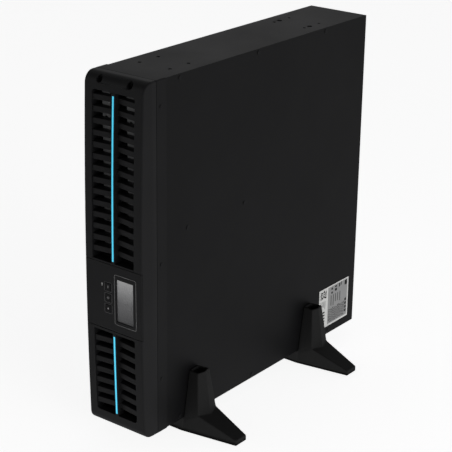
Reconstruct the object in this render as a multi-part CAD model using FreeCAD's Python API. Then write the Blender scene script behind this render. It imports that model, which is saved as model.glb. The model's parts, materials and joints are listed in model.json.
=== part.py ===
import FreeCAD, Part
import math
import os

# Uninterruptible power supply, rack/tower convertible, standing on edge in two feet.
# Frame: X across the narrow side, -Y the front, +Z up, origin on the floor under the middle of the box.

V = FreeCAD.Vector
X_AXIS, Y_AXIS, Z_AXIS = V(1, 0, 0), V(0, 1, 0), V(0, 0, 1)

# ---- driving dimensions (mm) ----
SOLE = 18.4              # floor to the underside of the case
CASE_W = 88.0            # two rack units
CASE_H = 438.0           # fits between 19-inch rack posts
SHEET = 1.2
FRONT = -228.0           # y of the most forward point of the bowed front
SEAM_B = 26.1            # depth of the seam behind the removable fascia
SEAM_A = 43.1            # depth of the seam between bezel ring and case
CASE_END = 450.1         # depth of the rear panel's outer face
REAR_REACH = 456.3       # depth of the furthest piece on the rear panel

BEZEL_HALF = 45.3        # half width of the plastic bezel
BEZEL_NOSE_HALF = 43.6   # half width at the front face, before the edge radius
BEZEL_PROUD = 0.8        # bezel stands proud of the case at top and bottom
TAPER_DEPTH = 18.0
BOW_LOW, BOW_MID_Z, BOW_HIGH = 3.1, 195.0, 5.2
NOSE_R_LOW, NOSE_R_HIGH = 12.0, 14.0
EDGE_R = 2.4
WALL = 3.0
RING_INNER = 42.6        # half width inside the bezel ring
RING_SCREW_DEPTH = 34.0
RING_SCREWS = (70.0, 217.5, 407.5)
SCREW_X, SCREW_H = 22.6, 432.6     # front bezel screws
SCREW_HEAD = (12.2, 15.2)
FACE_DEPTH = 14.0        # the bezel's front wall and bars end here

VENT_HALF = 32.0
VENT_OUTER_R, VENT_INNER_R = 3.5, 0.8
PITCH, BAR = 13.97, 7.9
VALLEY = 3.8             # how far the bars fall back towards the spine
UPPER_VENT = (217.3, 420.5)
LOWER_VENT = (18.0, 127.0)
UPPER_BARS, LOWER_BARS = (415.8, 14), (118.5, 7)     # height of the top bar, number of bars
SPINE_HALF = 2.6
LIGHT_HALF, LIGHT_DEEP = 1.25, 2.0

PANEL_LOW, PANEL_HIGH, PANEL_HALF = 131.0, 214.6, 41.0
PANEL_RIM = 2.1          # depth of the panel's rim, which laps over the bezel's side walls
SEAM_GAP = 0.5
KEY_X, KEY_W, KEY_H = -8.0, 9.0, 9.8
KEY_HEIGHTS = (158.3, 172.1, 186.0)
KEY_PROUD = 0.3
STATUS_X, STATUS_H = -17.9, 186.7
LCD = (4.3, 30.6, 144.7, 198.5)
MODULE_BARS = ((130.0, 142.0), (205.0, 215.4))     # cross bars that carry the display module
MODULE_FEET = (137.0, 208.5)

TRAY_LOW, TRAY_HIGH = 216.0, 421.0
DIVIDER_Z = 214.2
BATTERY = (65.0, 151.0, 94.0)
PACK_START, PACK_END = 47.0, 364.0

FAN_SIZE, FAN_DEEP, FAN_BORE = 80.0, 25.4, 38.2
FAN_HEIGHTS = (48.0, 132.0)

STAND_DEPTHS = (94.8, 336.5)
PAD = 0.8                # rubber pads keep the feet this far off the floor
STRAP_LOW, STRAP_HIGH = 234.0, 422.0

parts = {}


def keep(name, shape):
    """Stores one named piece; lists become a group of separate solids."""
    if isinstance(shape, (list, tuple)):
        shape = Part.makeCompound(list(shape))
    parts[name] = shape


def yd(depth):
    return FRONT + depth


def zh(height):
    return SOLE + height


def box(x0, x1, d0, d1, h0, h1):
    """Box from case coordinates: x, depth behind the front, height above the case's underside."""
    return Part.makeBox(x1 - x0, d1 - d0, h1 - h0, V(x0, yd(d0), zh(h0)))


def rod(radius, x, d0, d1, h):
    """Cylinder along the depth."""
    return Part.makeCylinder(radius, d1 - d0, V(x, yd(d0), zh(h)), Y_AXIS)


def post(radius, x0, x1, depth, h):
    """Cylinder across the case."""
    return Part.makeCylinder(radius, x1 - x0, V(x0, yd(depth), zh(h)), X_AXIS)


def fuse(shapes, tidy=True):
    first, rest = shapes[0], list(shapes[1:])
    if not rest:
        return first
    joined = first.multiFuse(rest)
    return joined.removeSplitter() if tidy else joined


def cut(shape, tools):
    tools = list(tools)
    if len(tools) > 1:
        return shape.cut(tools[0].multiFuse(tools[1:]))
    return shape.cut(tools[0])


def rounded_box(x0, x1, d0, d1, h0, h1, r):
    """Box with its four edges along the depth rounded."""
    b = box(x0, x1, d0, d1, h0, h1)
    edges = [e for e in b.Edges if abs(e.tangentAt(e.FirstParameter).y) > 0.99]
    return b.makeFillet(r, edges)


def bow(height):
    """How far the front face lies behind its most forward point at a height."""
    end, drop = (12.0, BOW_LOW) if height < BOW_MID_Z else (424.0, BOW_HIGH)
    return drop * ((height - BOW_MID_Z) / (end - BOW_MID_Z)) ** 2


# ---- bezel outer form ----
def bezel_form(depth_end, half=BEZEL_HALF):
    """Solid of the bezel's outside: bowed front, rounded ends, tapered nose."""
    low, high = -BEZEL_PROUD, CASE_H + BEZEL_PROUD
    r1, r2 = NOSE_R_LOW, NOSE_R_HIGH
    s = math.sqrt(0.5)

    def p(depth, height):
        return V(-half, yd(depth), zh(height))

    a, b = p(depth_end, low), p(BOW_LOW + r1, low)
    b_mid = p(BOW_LOW + r1 * (1 - s), low + r1 * (1 - s))
    c, mid, d = p(BOW_LOW, low + r1), p(0, BOW_MID_Z), p(BOW_HIGH, high - r2)
    e_mid = p(BOW_HIGH + r2 * (1 - s), high - r2 * (1 - s))
    e, f = p(BOW_HIGH + r2, high), p(depth_end, high)
    edges = [Part.LineSegment(a, b), Part.Arc(b, b_mid, c), Part.Arc(c, mid, d)]
    edges += [Part.Arc(d, e_mid, e), Part.LineSegment(e, f), Part.LineSegment(f, a)]
    wire = Part.Wire([seg.toShape() for seg in edges])
    body = Part.Face(wire).extrude(V(2 * half, 0, 0))
    outside = 60.0
    for side in (-1, 1):
        pts = [(BEZEL_NOSE_HALF, -5), (BEZEL_NOSE_HALF, 0), (BEZEL_HALF, TAPER_DEPTH)]
        pts += [(outside, TAPER_DEPTH), (outside, -5)]
        wedge = Part.Face(Part.makePolygon([V(side * x, yd(t), zh(-5)) for x, t in pts + pts[:1]]))
        body = body.cut(wedge.extrude(V(0, 0, CASE_H + 10)))
    return body.makeFillet(EDGE_R, [edge for edge in body.Edges if is_nose_edge(edge)])


def is_nose_edge(edge):
    """True for the long edges where the bowed front meets the tapered sides."""
    middle = edge.valueAt((edge.FirstParameter + edge.LastParameter) / 2)
    forward = abs(middle.x) > BEZEL_NOSE_HALF - 1 and middle.y < yd(TAPER_DEPTH - 1)
    return forward and edge.BoundBox.XLength < 3 and edge.BoundBox.ZLength > 5


BEZEL = bezel_form(SEAM_B)
BACK_STEP = BEZEL.copy()
BACK_STEP.translate(V(0, LIGHT_DEEP, 0))


def vent_bars(first, count):
    """Bars of one vent in two columns that fall back towards the spine in a shallow valley."""
    end = VENT_HALF - 0.1
    bars = []
    for k in range(count):
        top = first - k * PITCH
        lead = bow(top - BAR / 2)
        for side in (-1, 1):
            pts = [(end, lead + 1.6), (SPINE_HALF - 1, lead + 1.6 + VALLEY)]
            pts += [(SPINE_HALF - 1, FACE_DEPTH), (end, FACE_DEPTH)]
            poly = Part.makePolygon([V(side * x, yd(t), zh(top - BAR)) for x, t in pts + pts[:1]])
            bar = Part.Face(poly).extrude(V(0, 0, BAR))
            bars.append(bar.cut(bar_chamfer(side, lead, top)))
    return bars


def bar_chamfer(side, lead, top):
    """Wedge taken off a bar's upper front edge, so that it sheds light like a louvre."""
    drop, run = 1.6, 2.6
    pts = [(lead + 1.0, top + 0.1), (lead + 1.0 + run + 2.0, top + 0.1), (lead + 1.0, top - drop)]
    face = Part.Face(Part.makePolygon([V(side * VENT_HALF, yd(t), zh(h)) for t, h in pts + pts[:1]]))
    wedge = face.extrude(V(-side * VENT_HALF, 0, 0))
    angle = -side * math.degrees(math.atan2(VALLEY, VENT_HALF))
    wedge.rotate(V(side * VENT_HALF, yd(lead), zh(top)), Z_AXIS, angle)
    return wedge


def soften(block, radius, height):
    """Rounds a block's depthwise edges that lie at one height."""
    edges = []
    for edge in block.Edges:
        along = abs(edge.tangentAt(edge.FirstParameter).y) > 0.99
        if along and abs(edge.Vertexes[0].Z - zh(height)) < 0.1:
            edges.append(edge)
    return block.makeFillet(radius, edges)


def vent_opening(vent, outer):
    """Vent hole: soft corners towards the end of the bezel, tight ones next to the display."""
    hole = box(-VENT_HALF, VENT_HALF, -5, FACE_DEPTH + 1, *vent)
    inner = vent[0] + vent[1] - outer
    return soften(soften(hole, VENT_OUTER_R, outer), VENT_INNER_R, inner)


def vent_grille(vent, bars):
    """Ladder of bars put in from behind: spine with its light groove, bars, a rail down each side."""
    low, high = vent
    spine = BEZEL.common(box(-SPINE_HALF, SPINE_HALF, -5, FACE_DEPTH, low + 0.1, high - 0.1))
    rails = []
    for s in (-1, 1):
        span = sorted((s * (VENT_HALF - 1.0), s * (VENT_HALF + 5.0)))
        rails.append(box(*span, FACE_DEPTH, FACE_DEPTH + 2, low + 1, high - 1))
    return fuse([spine] + vent_bars(*bars) + rails).cut(light_strip(vent))


def light_strip(vent):
    """Narrow lens that follows the bowed front along the middle of a vent."""
    strip = BEZEL.common(box(-LIGHT_HALF, LIGHT_HALF, -5, 20, vent[0] + 2.5, vent[1] - 3.5))
    return strip.cut(BACK_STEP)


# ---- front: removable bezel over the battery bay, the display and the lower intake ----
def front_bezel():
    low, high = PANEL_LOW - SEAM_GAP, PANEL_HIGH + SEAM_GAP
    inner = BEZEL_HALF - WALL
    bosses = [rod(6.5, s * SCREW_X, FACE_DEPTH - 1, SEAM_B, SCREW_H).common(BEZEL) for s in (-1, 1)]
    hollows = [box(-inner, inner, FACE_DEPTH, SEAM_B + 1, WALL - BEZEL_PROUD, low - WALL)]
    hollows.append(box(-inner, inner, FACE_DEPTH, SEAM_B + 1, high + WALL, CASE_H + BEZEL_PROUD - WALL))
    window_half = PANEL_HALF + 0.4
    hollows.append(box(-window_half, window_half, -5, SEAM_B + 1, low, high))
    hollows.append(box(-BEZEL_HALF - 1, BEZEL_HALF + 1, -5, PANEL_RIM + 0.3, low, high))
    hollows += [vent_opening(LOWER_VENT, LOWER_VENT[0]), vent_opening(UPPER_VENT, UPPER_VENT[1])]
    holes = []
    for s in (-1, 1):
        holes.append(rod(4.1, s * SCREW_X, -5, SCREW_HEAD[1], SCREW_H))
        holes.append(rod(2.3, s * SCREW_X, 14, SEAM_B + 1, SCREW_H))
    keep("front_bezel", cut(fuse([cut(BEZEL, hollows)] + bosses), holes))
    keep("front_bezel_screws", [bezel_screw(s * SCREW_X) for s in (-1, 1)])
    keep("vent_grilles", [vent_grille(LOWER_VENT, LOWER_BARS), vent_grille(UPPER_VENT, UPPER_BARS)])
    keep("lower_light_strip", light_strip(LOWER_VENT))
    keep("upper_light_strip", light_strip(UPPER_VENT))
    straps = []
    for s in (-1, 1):
        x0, x1 = sorted((s * 12.6, s * 24.4))
        strap = box(x0, x1, FACE_DEPTH, FACE_DEPTH + 1, STRAP_LOW, STRAP_HIGH)
        eyes = [rod(3.2, s * 18.5, FACE_DEPTH - 1, FACE_DEPTH + 2, h) for h in (265.5, 386.0)]
        straps.append(cut(strap, eyes))
    keep("vent_straps", straps)


def bezel_screw(x):
    front, back = SCREW_HEAD
    head = rod(3.7, x, front, back, SCREW_H)
    shank = rod(2.0, x, back - 0.1, 34.0, SCREW_H)
    cross = [box(x - 0.45, x + 0.45, front - 1, front + 1.8, SCREW_H - 2.2, SCREW_H + 2.2)]
    cross.append(box(x - 2.2, x + 2.2, front - 1, front + 1.8, SCREW_H - 0.45, SCREW_H + 0.45))
    return cut(fuse([head, shank]), cross)


# ---- bezel ring between front bezel and case ----
def bezel_ring():
    h0, h1 = -BEZEL_PROUD, CASE_H + BEZEL_PROUD
    ring = rounded_box(-BEZEL_HALF, BEZEL_HALF, SEAM_B + 0.3, SEAM_A, h0, h1, 2.0)
    ring = ring.cut(box(-RING_INNER, RING_INNER, SEAM_B - 1, SEAM_A + 1, 3.2, 435.2))
    reach = RING_INNER + 0.5
    bars = [box(-reach, reach, SEAM_B + 8, SEAM_A, *bar) for bar in MODULE_BARS]
    lugs = [box(s * SCREW_X - 6, s * SCREW_X + 6, 29.0, 40.0, 423.0, 435.7) for s in (-1, 1)]
    ring = fuse([ring] + bars + lugs)
    holes = [rod(2.1, s * SCREW_X, SEAM_B, SEAM_A + 1, SCREW_H) for s in (-1, 1)]
    for s in (-1, 1):
        holes += [post(1.6, *sorted((s * 40, s * 46)), RING_SCREW_DEPTH, h) for h in RING_SCREWS]
    keep("bezel_ring", cut(ring, holes))


# ---- display module ----
def display_module():
    slabs = [box(-PANEL_HALF, PANEL_HALF, -5, 5.0, PANEL_LOW, PANEL_HIGH)]
    slabs.append(box(-BEZEL_HALF, BEZEL_HALF, -5, PANEL_RIM, PANEL_LOW, PANEL_HIGH))
    plate = BEZEL.common(fuse(slabs))
    x0, x1, h0, h1 = LCD
    cuts = [box(x0, x1, -5, 6, h0, h1)]
    half_w, half_h = KEY_W / 2, KEY_H / 2
    cuts += [rounded_box(KEY_X - half_w, KEY_X + half_w, -5, 6, h - half_h, h + half_h, 1.0)
             for h in KEY_HEIGHTS]
    cuts.append(status_block(-5, 6, 1.0, 2.0, 0.6))
    keep("display_plate", cut(plate, cuts))
    shell = box(-38, 38, 5.0, 28.0, PANEL_LOW + 3, PANEL_HIGH - 3)
    shell = shell.cut(box(-36, 36, 4.0, 26.0, PANEL_LOW + 5, PANEL_HIGH - 5))
    feet = [rod(4.0, s * 30, 27.9, SEAM_B + 8, h) for s in (-1, 1) for h in MODULE_FEET]
    keep("display_housing", fuse([shell] + feet))
    keep("display_window", box(x0 + 0.1, x1 - 0.1, 0.7, 2.2, h0 + 0.1, h1 - 0.1))
    glass = box(x0 + 0.1, x1 - 0.1, 2.3, 5.2, h0 + 0.1, h1 - 0.1)
    keep("lcd_panel", fuse([glass, box(x0 - 2, x1 + 2, 5.1, 8.4, h0 - 3, h1 + 3)]))
    board = box(-34, 34, 12.0, 13.6, PANEL_LOW + 8, PANEL_HIGH - 8)
    switches = [box(KEY_X - 3, KEY_X + 3, 9.6, 12.0, h - 3, h + 3) for h in KEY_HEIGHTS]
    header = box(-30, -12, 13.6, 20.0, 136, 142)
    keep("display_board", fuse([board] + switches + [header]))
    keep("status_light_pipe", status_block(0.4, 12.0, 0.9, 1.9, 0.5))
    for name, h in zip(("power_key", "scroll_key", "enter_key"), KEY_HEIGHTS):
        keep(name, key_cap(h))


def status_block(d0, d1, half_w, half_h, r):
    x0, x1 = STATUS_X - half_w, STATUS_X + half_w
    return rounded_box(x0, x1, d0, d1, STATUS_H - half_h, STATUS_H + half_h, r)


def key_cap(h):
    w, t = KEY_W / 2 - 0.25, KEY_H / 2 - 0.25
    lead = -KEY_PROUD
    cap = rounded_box(KEY_X - w, KEY_X + w, lead, 5.4, h - t, h + t, 0.8)
    flange = box(KEY_X - w - 0.8, KEY_X + w + 0.8, 5.3, 6.3, h - t - 0.8, h + t + 0.8)
    stem = rod(1.5, KEY_X, 6.2, 8.6, h)
    return fuse([cap, flange, stem])


# ---- sheet-metal case ----
EAR_X, EAR_DEPTHS, EAR_R = 22.8, (76.0, 109.0), 2.1
RAIL_X, RAIL_DEPTHS, RAIL_R = 23.5, (338.0, 370.0), 1.7
RAIL_KEY_DEPTH, RAIL_KEY_R = 349.5, 3.2


def edge_holes():
    """Holes for rack ears and slide rails through both edges of the case."""
    holes = []
    for h in (-1, CASE_H - SHEET - 1):
        spots = [(s * EAR_X, d, EAR_R) for s in (-1, 1) for d in EAR_DEPTHS]
        spots += [(s * RAIL_X, d, RAIL_R) for s in (-1, 1) for d in RAIL_DEPTHS]
        spots += [(s * RAIL_X, RAIL_KEY_DEPTH, RAIL_KEY_R) for s in (-1, 1)]
        for x, d, r in spots:
            holes.append(Part.makeCylinder(r, SHEET + 2, V(x, yd(d), zh(h)), Z_AXIS))
    return holes


EDGE_SCREWS = [(68.5, 4.6), (215.0, 4.6), (390.0, 4.6)]
EDGE_SCREWS += [(d, CASE_H - 4.6) for d in (68.5, 215.0, 356.5)]
COVER_SCREWS = EDGE_SCREWS + [(82.8, 248.5), (192.0, 248.5)]


def case():
    half = CASE_W / 2
    outer = box(-half, half - SHEET, SEAM_A, CASE_END, 0, CASE_H)
    inner = box(-half + SHEET, half, SEAM_A - 1, CASE_END + 1, SHEET, CASE_H - SHEET)
    flange_end = CASE_END - SHEET - 0.3
    flanges = [box(half - 2 * SHEET, half - SHEET, SEAM_A, flange_end, h, h + 12) for h in (0, CASE_H - 12)]
    tray = fuse([outer.cut(inner)] + flanges)
    pilot = [post(1.2, half - 4, half + 1, d, h) for d, h in EDGE_SCREWS]
    keep("base_tray", cut(tray, edge_holes() + pilot))
    cover = box(half - SHEET, half, SEAM_A, CASE_END, 0, CASE_H)
    keep("side_cover", cut(cover, [post(1.7, half - 3, half + 1, d, h) for d, h in COVER_SCREWS]))
    divider = box(-half + SHEET, 40.6, 52, 410, DIVIDER_Z, DIVIDER_Z + SHEET)
    foot = box(-half + SHEET, -half + 2 * SHEET, 52, 410, DIVIDER_Z - 4, DIVIDER_Z + SHEET)
    lip = box(39.4, 40.6, 52, 410, DIVIDER_Z - 10, DIVIDER_Z + SHEET)
    vents = [box(-30, 30, d, d + 4, DIVIDER_Z - 1, DIVIDER_Z + 3) for d in range(372, 402, 9)]
    keep("bay_divider", cut(fuse([divider, foot, lip]), vents))
    floor = DIVIDER_Z + SHEET
    stop = [box(-40, 30, 366.5, 367.7, floor, floor + 40), box(-40, 30, 366.5, 371, floor, floor + SHEET)]
    keep("pack_stop", fuse(stop))


def case_screws():
    """Pan-head screws of the cover, the bezel ring, the rear panel and the option slot."""
    screws = []
    for d, h in COVER_SCREWS:
        screws.append(fuse([post(2.7, 44.0, 44.7, d, h), post(1.15, 38.0, 44.1, d, h)]))
    for s in (-1, 1):
        for h in RING_SCREWS:
            head = post(2.6, *sorted((s * 45.3, s * 45.9)), RING_SCREW_DEPTH, h)
            shank = post(1.5, *sorted((s * 42.8, s * 45.4)), RING_SCREW_DEPTH, h)
            screws.append(fuse([head, shank]))
    for x, h in REAR_SCREWS + OPTION_SCREWS:
        start = CASE_END if (x, h) in REAR_SCREWS else CASE_END + 1.0
        screws.append(fuse([rod(2.7, x, start, start + 1.6, h), rod(1.25, x, start - 5.0, start + 0.1, h)]))
    keep("case_screws", screws)


# ---- rear panel ----
REAR_SCREWS = [(x, h) for x in (-39.0, 39.0) for h in (4.6, 433.4)] + [(39.0, 216.0), (-39.0, 286.0)]
OPTION_SCREWS = [(-20.0, 181.0), (-20.0, 275.0)]
OPTION = (-40.0, -2.0, 184.0, 272.0)
OUTLETS = [(x, h) for h in (300.0, 334.0, 368.0) for x in (-20.0, 20.0)]
INLET = (-18.0, 410.0)
BREAKER = (24.0, 402.0)
EXTERNAL = (23.0, 257.0)
SERIAL, USB, EPO = (22.0, 226.0), (14.0, 196.0), (32.0, 196.0)
OUTLET_W, OUTLET_H = 32.0, 25.0
INLET_W, INLET_H = 36.0, 29.0


def rear_panel():
    d0, d1 = CASE_END - SHEET, CASE_END
    panel = box(-42.7, 42.7, d0, d1, SHEET + 0.1, CASE_H - SHEET - 0.1)
    cuts = [rod(FAN_BORE, 0, d0 - 1, d1 + 1, h) for h in FAN_HEIGHTS]
    cuts += [rod(2.2, sx * 35.75, d0 - 1, d1 + 1, h + sz * 35.75)
             for h in FAN_HEIGHTS for sx in (-1, 1) for sz in (-1, 1)]
    cuts += [box(x - 14.0, x + 14.0, d0 - 1, d1 + 1, h - 10.5, h + 10.5) for x, h in OUTLETS]
    cuts.append(box(INLET[0] - 16, INLET[0] + 16, d0 - 1, d1 + 1, INLET[1] - 12.5, INLET[1] + 12.5))
    cuts.append(rod(5.6, BREAKER[0], d0 - 1, d1 + 1, BREAKER[1]))
    cuts.append(box(OPTION[0] + 4, OPTION[1] - 4, d0 - 1, d1 + 1, OPTION[2] + 4, OPTION[3] - 4))
    cuts.append(box(EXTERNAL[0] - 11, EXTERNAL[0] + 11, d0 - 1, d1 + 1, EXTERNAL[1] - 8, EXTERNAL[1] + 8))
    cuts.append(box(SERIAL[0] - 9.6, SERIAL[0] + 9.6, d0 - 1, d1 + 1, SERIAL[1] - 5.6, SERIAL[1] + 5.6))
    cuts.append(box(USB[0] - 6.2, USB[0] + 6.2, d0 - 1, d1 + 1, USB[1] - 5.6, USB[1] + 5.6))
    cuts.append(box(EPO[0] - 5.2, EPO[0] + 5.2, d0 - 1, d1 + 1, EPO[1] - 4.2, EPO[1] + 4.2))
    cuts += [rod(1.35, x, d0 - 1, d1 + 1, h) for x, h in REAR_SCREWS + OPTION_SCREWS]
    keep("rear_panel", cut(panel, cuts))


def socket_body(x, h, half_w, half_h, deep):
    """Snap-in appliance coupler housing: flange outside, body inside, rounded mouth."""
    w, t = half_w + 2, half_h + 2
    flange = rounded_box(x - w, x + w, CASE_END, CASE_END + 2.4, h - t, h + t, 2)
    body = box(x - half_w, x + half_w, CASE_END - deep, CASE_END + 0.1, h - half_h, h + half_h)
    return fuse([flange, body])


def outlets():
    shells = []
    for x, h in OUTLETS:
        shell = socket_body(x, h, 13.8, 10.3, 24.0)
        groove = rounded_box(x - 12.4, x + 12.4, CASE_END - 17, CASE_END + 3, h - 8.9, h + 8.9, 1.5)
        core = rounded_box(x - 8.0, x + 8.0, CASE_END - 18, CASE_END + 1.4, h - 4.6, h + 4.6, 1.2)
        slots = [box(x + a - 1.1, x + a + 1.1, CASE_END - 14, CASE_END + 3, h + b - 2.1, h + b + 2.1)
                 for a, b in ((-5.0, -1.6), (5.0, -1.6), (0.0, 1.6))]
        shells.append(cut(shell, [groove.cut(core)] + slots))
    keep("output_sockets", shells)


def mains_inlet():
    x, h = INLET
    shell = socket_body(x, h, 15.8, 12.3, 26.0)
    cavity = rounded_box(x - 13.4, x + 13.4, CASE_END - 19, CASE_END + 3, h - 9.6, h + 9.6, 2.0)
    keep("mains_inlet", shell.cut(cavity))
    pins = [box(x + a - 1.0, x + a + 1.0, CASE_END - 36, CASE_END - 3, h + b - 3.0, h + b + 3.0)
            for a, b in ((-8.0, -2.5), (8.0, -2.5))]
    pins.append(box(x - 1.0, x + 1.0, CASE_END - 36, CASE_END - 3, h + 1.9, h + 7.9))
    parts["mains_inlet"] = cut(parts["mains_inlet"], pins)
    keep("inlet_pins", pins)


def fans():
    frames, guards = [], []
    inner = CASE_END - SHEET
    for index, h in enumerate(FAN_HEIGHTS):
        frame = rounded_box(-40, 40, inner - FAN_DEEP, inner, h - 40, h + 40, 3.0)
        bore = rod(FAN_BORE, 0, inner - FAN_DEEP - 1, inner + 1, h)
        holes = [rod(2.1, sx * 35.75, inner - FAN_DEEP - 1, inner + 1, h + sz * 35.75)
                 for sx in (-1, 1) for sz in (-1, 1)]
        hub = rod(16, 0, inner - 3.4, inner - 0.4, h)
        struts = []
        for k in range(4):
            arm = box(-1.6, 1.6, inner - 3.4, inner - 0.4, h + 10, h + FAN_BORE + 0.8)
            arm.rotate(V(0, 0, zh(h)), Y_AXIS, 45 + 90 * k)
            struts.append(arm)
        pin = rod(1.5, 0, inner - 16, inner - 3.0, h)
        frames.append(fuse([cut(frame, [bore] + holes), fuse([hub] + struts + [pin])]))
        keep(("lower_fan_rotor", "upper_fan_rotor")[index], fan_rotor(h, inner))
        guards.append(fan_guard(h))
    keep("fan_frames", frames)
    keep("fan_guards", guards)


def fan_rotor(h, inner):
    back, front = inner - 4.4, inner - FAN_DEEP + 1.5
    hub = rod(16, 0, front, back, h).cut(rod(14.4, 0, front + 2, back + 1, h))
    socket = rod(4.0, 0, front + 1, back - 1, h)
    blades = []
    for k in range(7):
        blade = box(-1.0, 1.0, front + 2, back - 2, h + 14.8, h + 36.6)
        blade.rotate(V(0, yd((front + back) / 2), zh(h + 25)), Z_AXIS, 38)
        blade.rotate(V(0, 0, zh(h)), Y_AXIS, 360.0 * k / 7)
        blades.append(blade.common(rod(36.8, 0, front, back, h)))
    return fuse([hub, socket] + blades).cut(rod(1.6, 0, front + 3, back + 1, h))


def fan_guard(h):
    """Finger guard: concentric wire rings on four radial wires that end in screw pads."""
    wire, depth = 0.8, CASE_END + 2.6
    centre = V(0, yd(depth), zh(h))
    rings = [Part.makeTorus(r, wire, centre, Y_AXIS) for r in (10, 17, 24, 31, 37.5)]
    arms = []
    for k in range(4):
        arm = Part.makeCylinder(wire, 42.0, V(0, yd(depth - 0.9), zh(h + 9.4)), Z_AXIS)
        pad = rod(3.6, 0, CASE_END, CASE_END + 2.2, h + 50.5)
        for piece in (arm, pad):
            piece.rotate(centre, Y_AXIS, 45 + 90 * k)
            arms.append(piece)
    return fuse(rings + arms, tidy=False)


def breaker():
    x, h = BREAKER
    nut = rod(7.6, x, CASE_END, CASE_END + 2.4, h)
    body = rod(5.5, x, CASE_END - 14, CASE_END + 0.1, h)
    block = box(x - 8, x + 8, CASE_END - 36, CASE_END - 13.9, h - 10, h + 10)
    hole = rod(3.3, x, CASE_END - 10, CASE_END + 3, h)
    keep("breaker_body", fuse([nut, body, block]).cut(hole))
    keep("breaker_button", rod(3.2, x, CASE_END - 7.5, REAR_REACH, h))


def connectors():
    end = CASE_END
    x, h = SERIAL
    shell = box(x - 9.4, x + 9.4, end - 10, end + 5.0, h - 5.4, h + 5.4)
    shell = shell.cut(box(x - 8.4, x + 8.4, end - 2, end + 6, h - 4.4, h + 4.4))
    ports = [fuse([shell, box(x - 7.4, x + 7.4, end - 3, end + 4.0, h - 2.2, h + 2.2)])]
    x, h = USB
    shell = box(x - 6.0, x + 6.0, end - 15, end + 0.6, h - 5.4, h + 5.4)
    shell = shell.cut(box(x - 4.3, x + 4.3, end - 12, end + 1, h - 3.9, h + 3.9))
    ports.append(fuse([shell, box(x - 2.8, x + 2.8, end - 13, end - 2.0, h - 1.6, h + 1.6)]))
    x, h = EPO
    shell = box(x - 5.0, x + 5.0, end - 9, end + 3.0, h - 4.0, h + 4.0)
    ports.append(cut(shell, [rod(1.5, x + a, end - 5, end + 4, h) for a in (-2.5, 2.5)]))
    keep("signal_ports", ports)
    x0, x1, h0, h1 = OPTION
    keep("option_slot_cover", cut(box(x0, x1, end, end + 1.0, h0 - 6, h1 + 6),
                                  [rod(1.4, sx, end - 1, end + 2, sh) for sx, sh in OPTION_SCREWS]))
    x, h = EXTERNAL
    shell = fuse([box(x - 10.8, x + 10.8, end - 30, end + 3.6, h - 7.8, h + 7.8)])
    wells = [box(x + a - 4.2, x + a + 4.2, end - 20, end + 4, h - 5.2, h + 5.2) for a in (-5.2, 5.2)]
    blades = [box(x + a - 2.6, x + a + 2.6, end - 21, end - 4, h - 4.0, h - 2.6) for a in (-5.2, 5.2)]
    keep("external_battery_socket", fuse([cut(shell, wells)] + blades))


# ---- battery pack ----
def battery_pack():
    x0, x1 = -42.3, 28.0
    t = 1.0
    tray = box(x0, x1, PACK_START, PACK_END, TRAY_LOW, TRAY_HIGH)
    tray = tray.cut(box(x0 + t, x1 + 1, PACK_START + t, PACK_END - t, TRAY_LOW + t, TRAY_HIGH - t))
    plug_gap = box(-12, 12, PACK_END - 2, PACK_END + 1, 300, 322)
    lips = [box(x1 - t, x1, PACK_START, PACK_END, h, h + 8) for h in (TRAY_LOW, TRAY_HIGH - 8)]
    front = box(x0, 40.0, PACK_START, PACK_START + t, TRAY_LOW, TRAY_HIGH)
    keep("battery_tray", cut(fuse([tray, front] + lips), [plug_gap]))
    bx, by, bz = BATTERY
    cases, plates, posts = [], [], []
    start, gap = PACK_START + 4.0, 2.0
    rows = (TRAY_LOW + 4.0, TRAY_HIGH - 4.0 - bz)
    for col in range(2):
        for row, h0 in enumerate(rows):
            d0 = start + col * (by + gap)
            shell = box(x0 + t + 0.2, x0 + t + 0.2 + bx, d0, d0 + by, h0, h0 + bz)
            edges = [e for e in shell.Edges if e.Length > 60]
            shell = shell.makeFillet(1.5, edges)
            core = box(x0 + t + 3.2, x0 + t - 2.8 + bx, d0 + 4, d0 + by - 4, h0 + (4 if row == 0 else 30),
                       h0 + bz - (30 if row == 0 else 4))
            cases.append(shell.cut(core))
            plates.append(stack_of_plates(core))
            face = h0 + bz if row == 0 else h0
            for dx in (14, 51):
                tip = face + (4.0 if row == 0 else -4.0)
                posts.append(box(x0 + t + dx - 3, x0 + t + dx + 3, d0 + 8, d0 + 9, *sorted((face, tip))))
    keep("battery_cases", cases)
    keep("battery_plates", plates)
    keep("battery_terminals", posts)
    handle_h = 318.0
    strap = [box(-14, 14, 36.0, 38.5, handle_h - 34, handle_h + 34)]
    for h in (handle_h - 34, handle_h + 34):
        strap.append(box(-14, 14, 38.4, PACK_START, h - 2.5, h + 2.5))
    keep("pack_handle", fuse(strap))
    keep("battery_plug", fuse([box(-11.6, 11.6, PACK_END - 8, PACK_END + 1.5, 300.4, 321.6),
                               box(-8, 8, PACK_END + 1.4, PACK_END + 9, 304, 318)]))
    socket = box(-11.6, 11.6, PACK_END + 2.5, PACK_END + 24, 300.4, 321.6)
    socket = socket.cut(box(-8.4, 8.4, PACK_END, PACK_END + 10, 303.6, 318.4))
    bracket = box(-40.6, -11.5, PACK_END + 12, PACK_END + 14, 302, 320)
    foot = box(-42.8, -40.5, PACK_END + 12, PACK_END + 32, 302, 320)
    keep("pack_receptacle", fuse([socket, bracket, foot]))


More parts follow.
